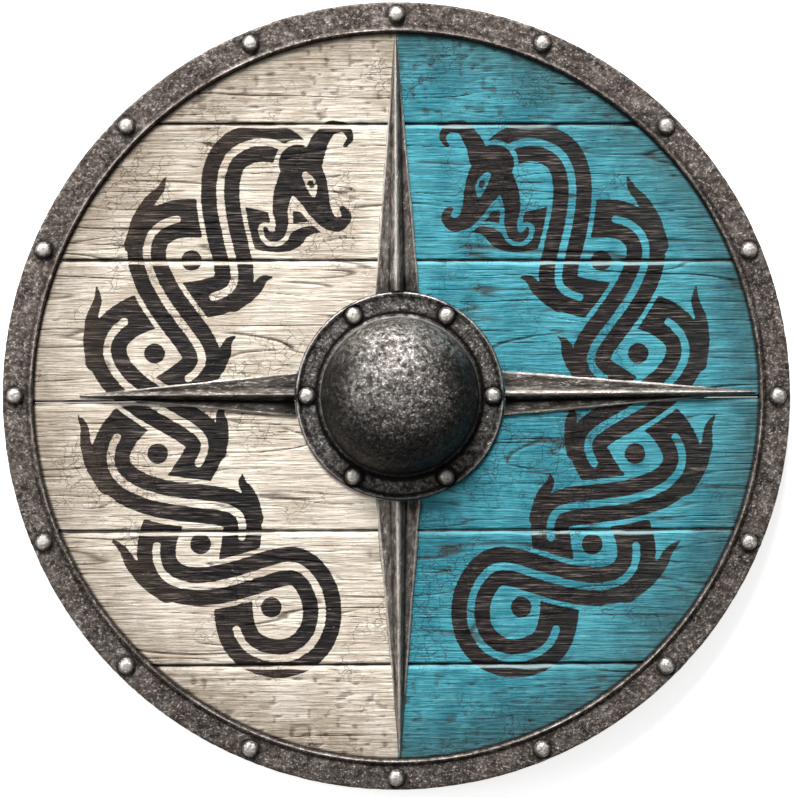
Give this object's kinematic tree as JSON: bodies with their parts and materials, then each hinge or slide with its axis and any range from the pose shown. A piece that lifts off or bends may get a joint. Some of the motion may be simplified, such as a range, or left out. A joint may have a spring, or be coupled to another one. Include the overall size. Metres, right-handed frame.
{
  "type": "round shield",
  "caption": "Round planked wooden shield with a hollow iron boss, ribbed iron cross arms, a riveted iron rim, painted halves, and a wooden grip bar and battens behind",
  "frame": {"origin": "Under the middle of the rim, in the plane of the flat backs of the grip bar and battens, which the shield lies on", "axes": "+Z is out of the painted front, +Y is the top of the shield along the grip bar, and +X is the right-hand, blue side as seen from the front"},
  "size_m": [0.61, 0.61, 0.074],
  "materials": {
    "painted_planks": "Rough planks under worn paint, pale cream on the left half and teal blue on the right, with black knotwork figures",
    "bare_wood": "Oiled brown ash, worn smooth and darker where the hand holds it",
    "forged_iron": "Hammered and pitted dark iron, brighter on its worn edges",
    "worn_iron": "Hammered rivet heads and screws, polished by wear on their crowns and dark in their pits"
  },
  "bodies": {
    "root": {"plank_1": "painted_planks", "plank_2": "painted_planks", "plank_3": "painted_planks", "plank_4": "painted_planks", "plank_5": "painted_planks", "plank_6": "painted_planks", "rim": "forged_iron", "boss": "forged_iron", "arm_right": "forged_iron", "arm_top": "forged_iron", "arm_left": "forged_iron", "arm_bottom": "forged_iron", "grip_bar": "bare_wood", "batten_left": "bare_wood", "batten_right": "bare_wood", "rim_rivet_01": "worn_iron", "rim_rivet_02": "worn_iron", "rim_rivet_03": "worn_iron", "rim_rivet_04": "worn_iron", "rim_rivet_05": "worn_iron", "rim_rivet_06": "worn_iron", "rim_rivet_07": "worn_iron", "rim_rivet_08": "worn_iron", "rim_rivet_09": "worn_iron", "rim_rivet_10": "worn_iron", "rim_rivet_11": "worn_iron", "rim_rivet_12": "worn_iron", "rim_rivet_13": "worn_iron", "rim_rivet_14": "worn_iron", "rim_rivet_15": "worn_iron", "rim_rivet_16": "worn_iron", "boss_rivet_01": "worn_iron", "boss_rivet_02": "worn_iron", "boss_rivet_03": "worn_iron", "boss_rivet_04": "worn_iron", "boss_rivet_05": "worn_iron", "boss_rivet_06": "worn_iron", "arm_right_screw_1": "worn_iron", "arm_right_screw_2": "worn_iron", "arm_top_screw_1": "worn_iron", "arm_top_screw_2": "worn_iron", "arm_top_screw_3": "worn_iron", "arm_left_screw_1": "worn_iron", "arm_left_screw_2": "worn_iron", "arm_bottom_screw_1": "worn_iron", "arm_bottom_screw_2": "worn_iron", "arm_bottom_screw_3": "worn_iron", "batten_left_screw_1": "worn_iron", "batten_left_screw_2": "worn_iron", "batten_left_screw_3": "worn_iron", "batten_left_screw_4": "worn_iron", "batten_left_screw_5": "worn_iron", "batten_left_screw_6": "worn_iron", "batten_right_screw_1": "worn_iron", "batten_right_screw_2": "worn_iron", "batten_right_screw_3": "worn_iron", "batten_right_screw_4": "worn_iron", "batten_right_screw_5": "worn_iron", "batten_right_screw_6": "worn_iron"}
  },
  "joints": []
}
